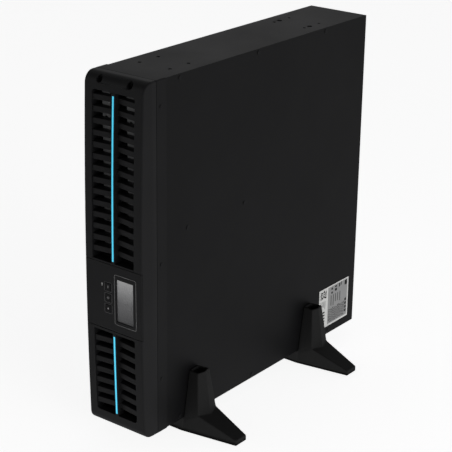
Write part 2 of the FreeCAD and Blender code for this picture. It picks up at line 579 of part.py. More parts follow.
def stack_of_plates(core):
    """Lead plates and paste as one block of ribs, a little smaller than the cell's hollow."""
    b = core.BoundBox
    corner = V(b.XMin + 0.5, b.YMin + 0.5, b.ZMin + 0.3)
    block = Part.makeBox(b.XLength - 1, b.YLength - 1, b.ZLength * 0.5, corner)
    slits = []
    for k in range(5):
        y = b.YMin + b.YLength * (k + 1) / 6.0
        slits.append(Part.makeBox(b.XLength, 2.0, b.ZLength, V(b.XMin + 3.0, y - 1, b.ZMin - 1)))
    return cut(block, slits)


# ---- electronics ----
BOARD_X = -36.0


def heatsink(name, d0, d1, h0, h1):
    """Extruded sink standing on the board, with fins across its flow of air."""
    base = box(BOARD_X + 4, 30.0, d0, d1, h0, h0 + 4)
    fins = [box(x, x + 1.6, d0, d1, h0 + 3.9, h1) for x in range(int(BOARD_X) + 5, 29, 6)]
    keep(name, fuse([base] + fins))


def electronics():
    board = box(BOARD_X, BOARD_X + 1.6, 92, 404, 8, 212)
    holes = [(d, h) for d in (98, 250, 398) for h in (14, 206)]
    keep("main_board", cut(board, [post(1.7, BOARD_X - 1, BOARD_X + 3, d, h) for d, h in holes]))
    standoffs = []
    for d, h in holes:
        pin = post(1.5, BOARD_X - 0.1, BOARD_X + 2.0, d, h)
        standoffs.append(fuse([post(3.0, -42.8, BOARD_X, d, h), pin]))
    keep("board_standoffs", standoffs)
    heatsink("rectifier_heatsink", 130, 250, 150, 185)
    heatsink("inverter_heatsink", 265, 385, 150, 185)
    top = BOARD_X + 1.6
    transistors = []
    for d0 in (135, 270):
        for k in range(5):
            d = d0 + 23 * k
            transistors.append(box(top + 4, top + 24, d, d + 15.6, 145.0, 150.0))
    keep("power_transistors", transistors)
    caps = [post(16.0, top, top + 50, d, h) for d in (135, 170, 205) for h in (30, 64)]
    caps = [c.makeFillet(2.0, [e for e in c.Edges if e.Length > 90]) for c in caps]
    keep("bus_capacitors", caps)
    keep("boost_choke", choke(268, 42, 26, 13, 34))
    keep("output_choke", choke(332, 42, 26, 13, 34))
    core = box(top, top + 40, 240, 280, 92, 126)
    core = core.cut(box(top + 7, top + 33, 239, 281, 99, 119))
    winding = rounded_box(top + 8, top + 32, 236, 284, 100, 118, 3)
    keep("auxiliary_transformer", fuse([core, winding]))
    keep("output_relays", [box(top, top + 20, d, d + 29, 196 - 98, 196 - 85.5) for d in (300, 334)])
    daughter = box(top + 0.2, top + 52, 112, 113.6, 20, 130)
    chips = [box(top + 14, top + 28, 113.6, 115.4, h, h + 14) for h in (40, 66, 92)]
    keep("control_board", fuse([daughter] + chips))
    can = box(-36, 20, 384, 398, 392, 428)
    tabs = box(-42.8, -36, 390, 392, 400, 420)
    keep("mains_filter", fuse([can, tabs]))


def choke(depth, h, r_out, r_in, thick):
    """Toroid lying on the board with turns of thick wire round it."""
    x0 = BOARD_X + 1.6
    x1, wire = x0 + thick, 3.0
    core = post(r_out, x0 + wire, x1 - wire, depth, h).cut(post(r_in, x0 + 2, x1, depth, h))
    turns = []
    for k in range(12):
        turn = box(x0, x1, depth - 1.6, depth + 1.6, h + r_in - wire, h + r_out + wire)
        gap = box(x0 + 2.9, x1 - 2.9, depth - 2, depth + 2, h + r_in - 0.1, h + r_out + 0.1)
        turn = turn.cut(gap)
        turn.rotate(V(0, yd(depth), zh(h)), X_AXIS, 30 * k)
        turns.append(turn)
    return fuse([core] + turns)


# ---- feet ----
def section_loft(first, second):
    """Ruled solid between two closed outlines with the same number of corners."""
    wires = [Part.makePolygon(pts + pts[:1]) for pts in (first, second)]
    return Part.makeLoft(wires, True, True)


def stand_half(side, depth):
    """One foot half: block under the case, splayed leg with a blunt toe, hollow-topped post."""
    def leg_section(x, half_low, half_high, high):
        pts = [(-half_low, -SOLE + PAD), (half_low, -SOLE + PAD), (half_high, high), (-half_high, high)]
        return [V(side * x, yd(depth + t), zh(h)) for t, h in pts]

    def post_section(h, at_case, x, half, ridge):
        pts = [(44.3, -at_case), (x, -half), (ridge, 0), (x, half), (44.3, at_case)]
        return [V(side * a, yd(depth + t), zh(h)) for a, t in pts]

    legs = [leg_section(44.3, 22.3, 20.3, -4.1), leg_section(66.0, 18.9, 17.5, 8.8)]
    legs.append(leg_section(119.3, 10.4, 10.0, -10.2))
    posts = [post_section(-4.5, 20.3, 66.5, 18.1, 72.0), post_section(8.8, 17.9, 66.0, 17.5, 71.0)]
    posts.append(post_section(61.6, 8.6, 60.0, 11.0, 62.8))
    solids = [section_loft(*pair) for rows in (legs, posts) for pair in zip(rows, rows[1:])]
    base = box(*sorted((side * 14.0, side * 44.4)), depth - 22.3, depth + 22.3, -SOLE + PAD, 0)
    rim = [(46.6, -6.8), (58.0, -8.8), (60.4, 0), (58.0, 8.8), (46.6, 6.8), (46.6, -6.8)]
    pocket = Part.Face(Part.makePolygon([V(side * a, yd(depth + t), zh(52.0)) for a, t in rim]))
    pocket = pocket.extrude(V(0, 0, 12.0))
    under = -SOLE + PAD
    slot = box(*sorted((side * 10.0, side * 34.0)), depth - 15.2, depth + 15.2, -SOLE - 1, under + 3.2)
    recess = box(*sorted((side * 84.0, side * 112.0)), depth - 7.0, depth + 7.0, -SOLE - 1, under + 1.5)
    return cut(fuse([base] + solids), [pocket, slot, recess])


def stands():
    ties, pads = [], []
    for name, depth in zip(("front", "rear"), STAND_DEPTHS):
        for word, side in (("left", -1), ("right", 1)):
            keep(name + "_stand_" + word, stand_half(side, depth))
            span = sorted((side * 84.3, side * 111.7))
            pads.append(box(*span, depth - 6.7, depth + 6.7, -SOLE, -SOLE + PAD + 1.5))
        plate = box(-33.8, 33.8, depth - 15.0, depth + 15.0, -SOLE, -SOLE + PAD + 3.2)
        block = box(-13.8, 13.8, depth - 22.3, depth + 22.3, -SOLE + PAD + 3.1, 0)
        ties.append(fuse([plate, block]))
    keep("stand_ties", ties)
    keep("stand_pads", pads)


def rating_label():
    keep("rating_label", box(44.0, 44.15, 365.0, 436.0, 11.5, 70.5))


front_bezel()
bezel_ring()
display_module()
case()
case_screws()
rear_panel()
outlets()
mains_inlet()
fans()
breaker()
connectors()
battery_pack()
electronics()
stands()
rating_label()

os.makedirs("parts", exist_ok=True)
for node, shape in parts.items():
    shape.exportStep("parts/" + node + ".step")
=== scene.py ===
import json
import math
import random

import bmesh
import bpy
from mathutils import Matrix, Vector
from mathutils.bvhtree import BVHTree


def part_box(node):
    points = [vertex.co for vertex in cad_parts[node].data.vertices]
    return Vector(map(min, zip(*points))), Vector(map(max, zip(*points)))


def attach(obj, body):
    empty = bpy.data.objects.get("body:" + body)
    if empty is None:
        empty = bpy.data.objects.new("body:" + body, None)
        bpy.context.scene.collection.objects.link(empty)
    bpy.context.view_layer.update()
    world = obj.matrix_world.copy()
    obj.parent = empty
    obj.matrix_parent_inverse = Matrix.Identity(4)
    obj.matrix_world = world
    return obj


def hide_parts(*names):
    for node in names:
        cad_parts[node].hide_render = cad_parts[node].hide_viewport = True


# Uninterruptible power supply standing on edge in two feet. Metres, -Y the front, +X the side with the label.
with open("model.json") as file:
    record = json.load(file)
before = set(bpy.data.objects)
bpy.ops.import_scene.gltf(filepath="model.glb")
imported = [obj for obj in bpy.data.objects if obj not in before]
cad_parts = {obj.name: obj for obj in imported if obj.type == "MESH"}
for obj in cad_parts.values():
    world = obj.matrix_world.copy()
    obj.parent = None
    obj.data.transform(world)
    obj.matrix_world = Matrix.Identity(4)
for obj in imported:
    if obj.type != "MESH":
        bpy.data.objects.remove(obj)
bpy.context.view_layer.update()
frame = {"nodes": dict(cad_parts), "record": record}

MM = 0.001
BODY_OF = {node: body for body, nodes in frame["record"]["behaviour"]["bodies"].items() for node in nodes}
SLOT_OF = {part["node"]: part["material_slot"] for part in frame["record"]["subparts"]}


# ---- camera, light and floor ----
CAMERA_PLACE = Vector((1.0612, -1.3817, 0.8906))
CAMERA_AZIMUTH, CAMERA_ELEVATION, CAMERA_ROLL = 37.8369, 21.2062, 0.7668
CAMERA_LENS = 116.607
FLOOR_HALF = 14.0
# (place on the way from straight down to straight up, level)
WORLD_LEVELS = [(0.0, 0.18), (0.40, 0.16), (0.50, 0.17), (0.60, 0.28), (0.70, 0.28), (0.77, 0.10),
                (1.0, 0.04)]
WORLD_BRIGHT_SIDE = (-0.3, 0.954, 0.0)
WORLD_SWING = (0.5, 1.15)
# name, place, target, size, power in watts, seen in reflections
SOFTBOXES = [
    ("overhead_softbox", (-0.4, 0.3, 2.4), (0, 0, 0.2), (1.8, 1.4), 0.8, True),
    ("right_softbox", (1.9, -0.5, 0.35), (0, 0, 0.2), (1.4, 0.6), 12.0, False),
    ("front_softbox", (-1.8, -2.6, 1.3), (0, 0, 0.2), (1.2, 1.6), 0.7, True),
    ("floor_glow", (0.05, 0.0, 0.004), (0.05, 0.0, 1.0), (1.5, 1.7), 8.0, False),
]


def make_camera():
    azimuth, elevation, roll = (math.radians(a) for a in (CAMERA_AZIMUTH, CAMERA_ELEVATION, CAMERA_ROLL))
    back = Vector((math.sin(azimuth) * math.cos(elevation), -math.cos(azimuth) * math.cos(elevation),
                   math.sin(elevation)))
    level = Vector((0, 0, 1)).cross(back).normalized()
    upright = back.cross(level)
    right = level * math.cos(roll) + upright * math.sin(roll)
    up = upright * math.cos(roll) - level * math.sin(roll)
    camera = bpy.data.objects.new("camera", bpy.data.cameras.new("camera"))
    camera.data.lens = CAMERA_LENS
    camera.data.clip_start = 0.05
    camera.data.clip_end = 60.0
    turn = Matrix((right, up, back)).transposed()
    camera.matrix_world = Matrix.Translation(CAMERA_PLACE) @ turn.to_4x4()
    bpy.context.scene.collection.objects.link(camera)
    bpy.context.scene.camera = camera


def make_world():
    """Dim room for a black object: pale walls low down, dark above, brighter behind and to the right."""
    world = bpy.data.worlds.new("studio")
    world.use_nodes = True
    nodes, links = world.node_tree.nodes, world.node_tree.links
    direction = nodes.new("ShaderNodeTexCoord").outputs["Generated"]
    split = nodes.new("ShaderNodeSeparateXYZ")
    links.new(direction, split.inputs[0])
    height = nodes.new("ShaderNodeMapRange")
    height.inputs["From Min"].default_value = -1.0
    links.new(split.outputs["Z"], height.inputs["Value"])
    ramp = nodes.new("ShaderNodeValToRGB")
    while len(ramp.color_ramp.elements) < len(WORLD_LEVELS):
        ramp.color_ramp.elements.new(0.5)
    for element, (place, level) in zip(ramp.color_ramp.elements, WORLD_LEVELS):
        element.position = place
        element.color = (level, level, level * 1.01, 1)
    links.new(height.outputs["Result"], ramp.inputs["Fac"])
    side = nodes.new("ShaderNodeVectorMath")
    side.operation = "DOT_PRODUCT"
    links.new(direction, side.inputs[0])
    side.inputs[1].default_value = WORLD_BRIGHT_SIDE
    swing = nodes.new("ShaderNodeMapRange")
    swing.inputs["From Min"].default_value = -1.0
    swing.inputs["To Min"].default_value, swing.inputs["To Max"].default_value = WORLD_SWING
    links.new(side.outputs["Value"], swing.inputs["Value"])
    links.new(ramp.outputs["Color"], nodes["Background"].inputs["Color"])
    links.new(swing.outputs["Result"], nodes["Background"].inputs["Strength"])
    bpy.context.scene.world = world


def softbox(name, place, target, size, power, mirrored):
    light = bpy.data.objects.new(name, bpy.data.lights.new(name, "AREA"))
    light.data.shape = "RECTANGLE"
    light.data.size, light.data.size_y = size
    light.data.energy = power
    light.location = place
    light.rotation_mode = "QUATERNION"
    light.rotation_quaternion = (Vector(target) - Vector(place)).to_track_quat("-Z", "Y")
    light.visible_camera = False
    light.visible_glossy = mirrored
    bpy.context.scene.collection.objects.link(light)


def make_floor():
    """Pale seamless floor. It isn't mirrored in the object, whose surroundings are the dimmer world."""
    mesh = bpy.data.meshes.new("floor")
    half = FLOOR_HALF
    corners = [(-half, -half, 0), (half, -half, 0), (half, half, 0), (-half, half, 0)]
    mesh.from_pydata(corners, [], [(0, 1, 2, 3)])
    floor = bpy.data.objects.new("floor", mesh)
    bpy.context.scene.collection.objects.link(floor)
    material = bpy.data.materials.new("floor_paper")
    material.use_nodes = True
    shader = material.node_tree.nodes["Principled BSDF"]
    shader.inputs["Base Color"].default_value = (0.75, 0.75, 0.75, 1)
    shader.inputs["Roughness"].default_value = 0.9
    shader.inputs["Emission Color"].default_value = (1, 1, 1, 1)
    shader.inputs["Emission Strength"].default_value = 0.86
    mesh.materials.append(material)
    floor.visible_diffuse = False
    floor.visible_glossy = False


# ---- materials ----
def linear(level):
    """An 8-bit sRGB level as linear light."""
    c = level / 255.0
    return c / 12.92 if c <= 0.04045 else ((c + 0.055) / 1.055) ** 2.4


def colour(red, green, blue):
    return (linear(red), linear(green), linear(blue), 1.0)


def shade(base, factor):
    return (base[0] * factor, base[1] * factor, base[2] * factor, 1.0)


class Graph:
    """A material's node tree, with short ways to add nodes and link them."""

    def __init__(self, name):
        self.material = bpy.data.materials.new(name)
        self.material.use_nodes = True
        self.tree = self.material.node_tree
        self.shader = self.tree.nodes["Principled BSDF"]

    def add(self, kind, inputs=(), **settings):
        made = self.tree.nodes.new(kind)
        for key, value in settings.items():
            setattr(made, key, value)
        for key, value in dict(inputs).items():
            self.put(made.inputs[key], value)
        return made

    def put(self, socket, value):
        if isinstance(value, bpy.types.NodeSocket):
            self.tree.links.new(value, socket)
        else:
            socket.default_value = value

    def set(self, **values):
        for key, value in values.items():
            self.put(self.shader.inputs[key.replace("_", " ")], value)

    def place(self, stretch=(1, 1, 1)):
        point = self.add("ShaderNodeTexCoord").outputs["Object"]
        return self.add("ShaderNodeMapping", {"Vector": point, "Scale": stretch}).outputs["Vector"]

    def noise(self, vector, scale, detail=4.0, roughness=0.55):
        settings = {"Vector": vector, "Scale": scale, "Detail": detail, "Roughness": roughness}
        return self.add("ShaderNodeTexNoise", settings).outputs[0]

    def remap(self, value, low, high, out_low, out_high):
        settings = {"Value": value, "From Min": low, "From Max": high, "To Min": out_low, "To Max": out_high}
        return self.add("ShaderNodeMapRange", settings).outputs["Result"]

    def maths(self, operation, first, second):
        made = self.add("ShaderNodeMath", {0: first, 1: second}, operation=operation)
        return made.outputs["Value"]

    def ramp(self, factor, stops):
        made = self.add("ShaderNodeValToRGB", {"Fac": factor})
        elements = made.color_ramp.elements
        while len(elements) < len(stops):
            elements.new(0.5)
        for element, (place, value) in zip(elements, stops):
            element.position = place
            element.color = value
        return made.outputs["Color"]

    def bump(self, height, strength, distance, normal=None):
        made = self.add("ShaderNodeBump", {"Height": height, "Strength": strength, "Distance": distance})
        if normal is not None:
            self.put(made.inputs["Normal"], normal)
        return made.outputs["Normal"]


def finish(name, base, roughness, grain=900.0, relief=0.2, depth=0.05, mottle=0.12, metallic=0.0,
           specular=0.5, stretch=(1, 1, 1), dust=0.0):
    """Surface with fine texture, broad unevenness in colour and gloss, and a few specks of dust."""
    g = Graph(name)
    fine = g.noise(g.place(stretch), grain, 5.0, 0.6)
    broad = g.noise(g.place(), 11.0, 3.0)
    mixed = g.maths("ADD", g.maths("MULTIPLY", fine, 0.45), g.maths("MULTIPLY", broad, 0.55))
    stops = [(0.3, shade(base, 1 - mottle)), (0.7, shade(base, 1 + mottle))]
    tone = g.ramp(mixed, stops)
    if dust:
        speck = g.noise(g.place(), 1600.0, 2.0, 0.5)
        tone = g.add("ShaderNodeMixRGB", {"Fac": g.remap(speck, 0.72, 0.8, 0.0, dust), "Color1": tone,
                                          "Color2": (0.09, 0.09, 0.088, 1)}).outputs["Color"]
    wave = g.bump(broad, 0.05, 2.0 * MM)
    gloss = g.remap(mixed, 0.3, 0.7, roughness + 0.05, roughness - 0.05)
    g.set(Base_Color=tone, Metallic=metallic, Roughness=gloss, Normal=g.bump(fine, relief, depth * MM, wave),
          Specular_IOR_Level=specular)
    return g


def lens_finish():
    """Light-blue diffuser lens with a soft glow, paler along its middle, and faint moulding streaks."""
    g = Graph("light_lens")
    streak = g.noise(g.place((1, 1, 0.08)), 700.0, 3.0)
    cloud = g.noise(g.place(), 24.0, 2.0)
    mixed = g.maths("ADD", g.maths("MULTIPLY", streak, 0.5), g.maths("MULTIPLY", cloud, 0.5))
    body = g.ramp(mixed, [(0.3, colour(28, 154, 196)), (0.7, colour(48, 176, 214))])
    split = g.add("ShaderNodeSeparateXYZ", {0: g.place()})
    off_middle = g.maths("ABSOLUTE", split.outputs["X"], 0.0)
    core = g.remap(off_middle, 0.2 * MM, 1.1 * MM, 1.0, 0.0)
    blend = {"Fac": core, "Color1": body, "Color2": colour(96, 214, 240)}
    tone = g.add("ShaderNodeMixRGB", blend).outputs["Color"]
    g.set(Base_Color=tone, Roughness=g.remap(streak, 0.3, 0.7, 0.28, 0.36), Emission_Color=tone,
          Normal=g.bump(streak, 0.1, 0.05 * MM))
    g.shader.inputs["Emission Strength"].default_value = 0.72
    return g


def lcd_finish_with_painted_light():
    """Unlit liquid-crystal glass with a fine cell grid, and painted light: lighter at the top, darker below,
    and a glow standing in for light that reaches it through the window.
    """
    g = Graph("lcd_face")
    low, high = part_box("lcd_panel")
    split = g.add("ShaderNodeSeparateXYZ", {0: g.place()})
    # Painted light: the face runs from light at the top to dark below, as light from above falls on it.
    up = g.remap(split.outputs["Z"], low.z, high.z, 0.0, 1.0)
    cloud = g.maths("MULTIPLY", g.noise(g.place(), 30.0, 2.0), 0.06)
    tone = g.ramp(g.maths("ADD", up, cloud), [(0.0, colour(60, 60, 61)), (0.5, colour(92, 92, 93)),
                                              (1.0, colour(150, 150, 150))])
    cell = {"Vector": g.place(), "Scale": 420.0}
    columns = g.add("ShaderNodeTexWave", cell, bands_direction="X").outputs[0]
    rows = g.add("ShaderNodeTexWave", cell, bands_direction="Z").outputs[0]
    grid = g.remap(g.maths("MULTIPLY", columns, rows), 0.0, 1.0, 0.97, 1.0)
    seen = g.add("ShaderNodeMixRGB", {"Fac": 1.0, "Color1": tone, "Color2": grid}, blend_type="MULTIPLY")
    g.set(Base_Color=seen.outputs["Color"], Roughness=g.remap(cloud, 0.0, 0.06, 0.2, 0.3),
          Emission_Color=seen.outputs["Color"])
    # Painted light: the panel is no lamp; this glow stands in for light that reaches it through the window.
    g.shader.inputs["Emission Strength"].default_value = 0.9
    return g


def window_finish():
    """Clear acrylic window: almost see-through, with a little haze and a few fine wipe marks."""
    g = Graph("window")
    wipes = g.noise(g.place((1, 1, 0.1)), 300.0, 4.0)
    g.set(Base_Color=g.ramp(wipes, [(0.3, (0.02, 0.02, 0.02, 1)), (0.7, (0.05, 0.05, 0.05, 1))]),
          Roughness=g.remap(wipes, 0.3, 0.7, 0.05, 0.12), Normal=g.bump(wipes, 0.02, 0.02 * MM))
    g.shader.inputs["Alpha"].default_value = 0.12
    return g


def board_finish():
    """Green solder mask over copper tracks."""
    g = Graph("board")
    cells = g.add("ShaderNodeTexVoronoi", {"Vector": g.place(), "Scale": 160.0}, distance="MANHATTAN")
    tracks = g.remap(cells.outputs["Distance"], 0.24, 0.30, 0.0, 1.0)
    fine = g.noise(g.place(), 800.0)
    tone = g.ramp(tracks, [(0.0, (0.012, 0.075, 0.03, 1)), (1.0, (0.02, 0.12, 0.045, 1))])
    g.set(Base_Color=tone, Roughness=g.remap(fine, 0.3, 0.7, 0.3, 0.42),
          Normal=g.bump(tracks, 0.3, 0.04 * MM))
    return g


def winding_finish():
    """Enamelled copper wire lying side by side."""
    g = Graph("winding")
    wires = g.add("ShaderNodeTexWave", {"Vector": g.place(), "Scale": 300.0, "Distortion": 0.4},
                  bands_direction="Y").outputs[0]
    fine = g.noise(g.place(), 700.0)
    g.set(Base_Color=g.ramp(wires, [(0.0, (0.12, 0.03, 0.01, 1)), (1.0, (0.55, 0.2, 0.08, 1))]), Metallic=0.7,
          Roughness=g.remap(fine, 0.3, 0.7, 0.28, 0.42), Normal=g.bump(wires, 0.6, 0.3 * MM))
    return g


# base colour, roughness, scale of the fine grain, its relief, its depth in mm, unevenness of the colour
FINISHES = {
    "case_paint": finish("case_paint", colour(17, 17, 18), 0.46, 1000.0, 0.22, 0.06, 0.10, dust=0.35),
    "bezel_plastic": finish("bezel_plastic", colour(30, 30, 31), 0.44, 1500.0, 0.25, 0.05, 0.10, dust=0.25),
    "ring_plastic": finish("ring_plastic", colour(22, 22, 23), 0.47, 1500.0, 0.25, 0.05, 0.10, dust=0.25),
    "inner_plastic": finish("inner_plastic", colour(15, 15, 16), 0.55, 1200.0, 0.2, 0.05, 0.12),
    "stand_plastic": finish("stand_plastic", colour(37, 37, 37), 0.5, 1300.0, 0.3, 0.06, 0.12, specular=0.15,
                            dust=0.3),
    "pad_rubber": finish("pad_rubber", colour(18, 18, 18), 0.8, 900.0, 0.4, 0.08, 0.15, dust=0.6),
    "light_lens": lens_finish(),
    "dark_screw": finish("dark_screw", colour(30, 30, 31), 0.42, 1400.0, 0.2, 0.03, 0.15, metallic=0.2),
    # Painted light: a brighter, mostly non-metal copy of the plated steel, lightened so the straps read lit
    # inside the shaded vent.
    "strap_steel_painted_lit": finish("strap_steel_painted_lit", colour(186, 187, 187), 0.42, 500.0, 0.15, 0.03, 0.08, metallic=0.1,
                          stretch=(1, 1, 0.06), dust=0.1),
    "plated_steel": finish("plated_steel", colour(150, 151, 150), 0.36, 500.0, 0.15, 0.03, 0.08, metallic=0.9,
                           stretch=(1, 1, 0.06), dust=0.1),
    "guard_wire": finish("guard_wire", colour(168, 168, 170), 0.28, 1500.0, 0.1, 0.02, 0.08, metallic=1.0),
    "board": board_finish(),
    "brass_metal": finish("brass_metal", (0.6, 0.42, 0.16, 1), 0.3, 900.0, 0.15, 0.03, 0.1, metallic=1.0),
    "sink_aluminium": finish("sink_aluminium", (0.62, 0.63, 0.64, 1), 0.38, 700.0, 0.2, 0.04, 0.06,
                             metallic=1.0, stretch=(1, 0.05, 1)),
    "semiconductor": finish("semiconductor", colour(26, 26, 28), 0.4, 1500.0, 0.25, 0.04, 0.12),
    "capacitor_sleeve": finish("capacitor_sleeve", colour(30, 38, 62), 0.3, 600.0, 0.1, 0.04, 0.1),
    "winding": winding_finish(),
    "battery_case": finish("battery_case", colour(44, 46, 50), 0.5, 900.0, 0.25, 0.06, 0.1, dust=0.3),
    "lead_plate": finish("lead_plate", (0.16, 0.16, 0.17, 1), 0.6, 500.0, 0.4, 0.1, 0.2, metallic=0.6),
    "connector": finish("connector", colour(20, 20, 21), 0.42, 1200.0, 0.2, 0.04, 0.12),
    "strap": finish("strap", colour(38, 38, 40), 0.75, 1500.0, 0.5, 0.2, 0.2, stretch=(1, 1, 0.3)),
    "port_shell": finish("port_shell", colour(176, 177, 178), 0.26, 1000.0, 0.1, 0.02, 0.06, metallic=1.0),
    "lcd_face": lcd_finish_with_painted_light(),
    "window": window_finish(),
    "key_cap": finish("key_cap", colour(22, 22, 23), 0.42, 1500.0, 0.2, 0.04, 0.1),
    "reset_button": finish("reset_button", colour(28, 28, 29), 0.36, 1200.0, 0.15, 0.03, 0.1),
    "light_pipe": finish("light_pipe", colour(168, 168, 166), 0.3, 900.0, 0.1, 0.03, 0.06),
    "label": finish("label", colour(215, 215, 213), 0.5, 1500.0, 0.12, 0.02, 0.03),
}
PRINT_FINISHES = {
    "ink_black": finish("ink_black", colour(24, 24, 24), 0.5, 1500.0, 0.1, 0.02, 0.15),
    "ink_grey": finish("ink_grey", colour(62, 62, 62), 0.5, 1500.0, 0.1, 0.02, 0.12),
    "label_tint": finish("label_tint", colour(150, 150, 150), 0.5, 1500.0, 0.1, 0.02, 0.04),
    "outline_silver": finish("outline_silver", colour(128, 128, 128), 0.35, 1200.0, 0.1, 0.02, 0.08),
    "surround_grey": finish("surround_grey", colour(92, 92, 92), 0.4, 1200.0, 0.1, 0.02, 0.08),
    "icon_grey": finish("icon_grey", colour(150, 150, 150), 0.45, 1200.0, 0.1, 0.02, 0.08),
}


# ---- pieces ----
EDGE_SEGMENTS, EDGE_ANGLE = 3, 28.0      # steps round an edge, and the fold in degrees that counts as one
SKIN_GRID, SKIN_PASSES = 0.7, 10         # grid of a stand's skin in mm, and its smoothing passes


def add_piece(name, mesh, body, material):
    piece = bpy.data.objects.new(name, mesh)
    mesh.materials.clear()
    mesh.materials.append(material.material)
    bpy.context.scene.collection.objects.link(piece)
    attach(piece, body)
    return piece


def clean_mesh(node):
    """The CAD piece's mesh with shared corners joined and flat areas made whole."""
    source = frame["nodes"][node].data
    work = bmesh.new()
    work.from_mesh(source)
    bmesh.ops.remove_doubles(work, verts=work.verts, dist=2e-6)
    bmesh.ops.dissolve_limit(work, angle_limit=math.radians(0.3), verts=work.verts, edges=work.edges)
    work.verts.ensure_lookup_table()
    mesh = bpy.data.meshes.new(node + "_form")
    mesh.from_pydata([v.co[:] for v in work.verts], [], [[v.index for v in f.verts] for f in work.faces])
    work.free()
    mesh.validate()
    mesh.shade_smooth()
    return mesh


def refined(node, radius):
    """A finer copy of a CAD piece, with every sharp edge rounded, which stands for it."""
    piece = add_piece(node + "_moulding", clean_mesh(node), BODY_OF[node], finish_of(node))
    rounding = piece.modifiers.new("rounded_edges", "BEVEL")
    rounding.width = radius * MM
    rounding.segments = EDGE_SEGMENTS
    rounding.limit_method = "ANGLE"
    rounding.angle_limit = math.radians(EDGE_ANGLE)
    rounding.use_clamp_overlap = False
    weights = piece.modifiers.new("even_shading", "WEIGHTED_NORMAL")
    weights.keep_sharp = True
    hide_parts(node)


def softened(node):
    """A copy of a CAD piece with twisted faces, skinned with an even grid and smoothed at its edges."""
    piece = add_piece(node + "_moulding", clean_mesh(node), BODY_OF[node], finish_of(node))
    skin = piece.modifiers.new("even_skin", "REMESH")
    skin.mode = "VOXEL"
    skin.voxel_size = SKIN_GRID * MM
    skin.use_smooth_shade = True
    smoothing = piece.modifiers.new("soft_edges", "SMOOTH")
    smoothing.factor = 0.5
    smoothing.iterations = SKIN_PASSES
    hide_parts(node)


# pieces whose look differs from the rest of their slot
LOOKS = {"vent_straps": "strap_steel_painted_lit", "bezel_ring": "ring_plastic"}
# how far each piece's edges are rounded, in mm
ROUNDED = {
    "front_bezel": 0.4, "vent_grilles": 0.3, "display_plate": 0.25, "bezel_ring": 0.2,
    "base_tray": 0.5, "side_cover": 0.35, "option_slot_cover": 0.3,
    "output_sockets": 0.35, "mains_inlet": 0.4, "breaker_body": 0.4, "breaker_button": 0.6,
    "power_key": 0.35, "scroll_key": 0.35, "enter_key": 0.35, "case_screws": 0.25,
    "front_bezel_screws": 0.3, "external_battery_socket": 0.4, "signal_ports": 0.25,
    "stand_pads": 0.5, "stand_ties": 0.8, "fan_frames": 0.6, "pack_handle": 0.6,
}


def finish_of(node):
    return FINISHES[LOOKS.get(node, SLOT_OF[node])]


def finish_cad():
    for node, piece in frame["nodes"].items():
        piece.data.materials.clear()
        piece.data.materials.append(finish_of(node).material)
    for node, radius in ROUNDED.items():
        refined(node, radius)
    for end in ("front", "rear"):
        for side in ("left", "right"):
            softened(end + "_stand_" + side)


def slab_mesh(name, plates, axis, level, thick):
    """Thin plates with square edges as one mesh: each plate is a rectangle in the plane across the axis."""
    work = bmesh.new()
    for a0, a1, b0, b1 in plates:
        corners = []
        for lift in (0.0, thick):
            for a, b in ((a0, b0), (a1, b0), (a1, b1), (a0, b1)):
                point = (level + lift, a, b) if axis == "x" else (a, level + lift, b)
                corners.append(work.verts.new(point))
        for loop in ((0, 3, 2, 1), (4, 5, 6, 7), (0, 1, 5, 4), (1, 2, 6, 5), (2, 3, 7, 6), (3, 0, 4, 7)):
            work.faces.new([corners[k] for k in loop])
    bmesh.ops.recalc_face_normals(work, faces=work.faces)
    mesh = bpy.data.meshes.new(name)
    work.to_mesh(mesh)
    work.free()
    return mesh


# ---- display details, in mm ----
OUTLINE_LEFT, OUTLINE_RIGHT, OUTLINE_DOWN, OUTLINE_UP = 2.35, 4.7, 3.7, 6.0     # margins round the window
OUTLINE_RADIUS, OUTLINE_HALF, OUTLINE_PROUD = 2.4, 0.32, 0.16
SURROUND_HALF_X, SURROUND_HALF_Z, SURROUND_RADIUS = 5.8, 5.75, 1.5
SURROUND_HALF, SURROUND_PROUD = 0.26, 0.12


def front_probe(node):
    """Finds the front surface of a node: returns y at an (x, z)."""
    source = frame["nodes"][node].data
    tree = BVHTree.FromPolygons([v.co for v in source.vertices], [p.vertices for p in source.polygons])

    def at(x, z):
        hit = tree.ray_cast(Vector((x, -1.0, z)), Vector((0, 1, 0)))
        return hit[0].y if hit[0] is not None else None

    return at


def rounded_loop(x0, x1, z0, z1, radius, steps=8):
    """Points round a rectangle with round corners, in the XZ plane."""
    points = []
    corners = ((x1 - radius, z1 - radius, 0), (x0 + radius, z1 - radius, 90),
               (x0 + radius, z0 + radius, 180), (x1 - radius, z0 + radius, 270))
    for cx, cz, start in corners:
        for k in range(steps + 1):
            angle = math.radians(start + 90 * k / steps)
            points.append((cx + radius * math.cos(angle), cz + radius * math.sin(angle)))
    return points


def ridge_loop(name, points, level, half, height, look):
    """Raised line with a rounded crown along a closed outline on the display plate's face."""
    section = [(-1.0, 0.25), (-0.85, -0.55), (-0.45, -0.95), (0.45, -0.95), (0.85, -0.55), (1.0, 0.25)]
    count = len(points)
    work = bmesh.new()
    rings = []
    for k, (x, z) in enumerate(points):
        before, after = points[k - 1], points[(k + 1) % count]
        along = Vector((after[0] - before[0], after[1] - before[1])).normalized()
        outward = Vector((along.y, -along.x))
        y = level(x, z)
        rings.append([work.verts.new((x + outward.x * half * a, y + height * b, z + outward.y * half * a))
                      for a, b in section])
    for k in range(count):
        one, two = rings[k], rings[(k + 1) % count]
        for j in range(len(section)):
            nxt = (j + 1) % len(section)
            work.faces.new((one[j], two[j], two[nxt], one[nxt]))
    bmesh.ops.recalc_face_normals(work, faces=work.faces)
    mesh = bpy.data.meshes.new(name)
    work.to_mesh(mesh)
    work.free()
    mesh.shade_smooth()
    add_piece(name, mesh, BODY_OF["display_plate"], PRINT_FINISHES[look])


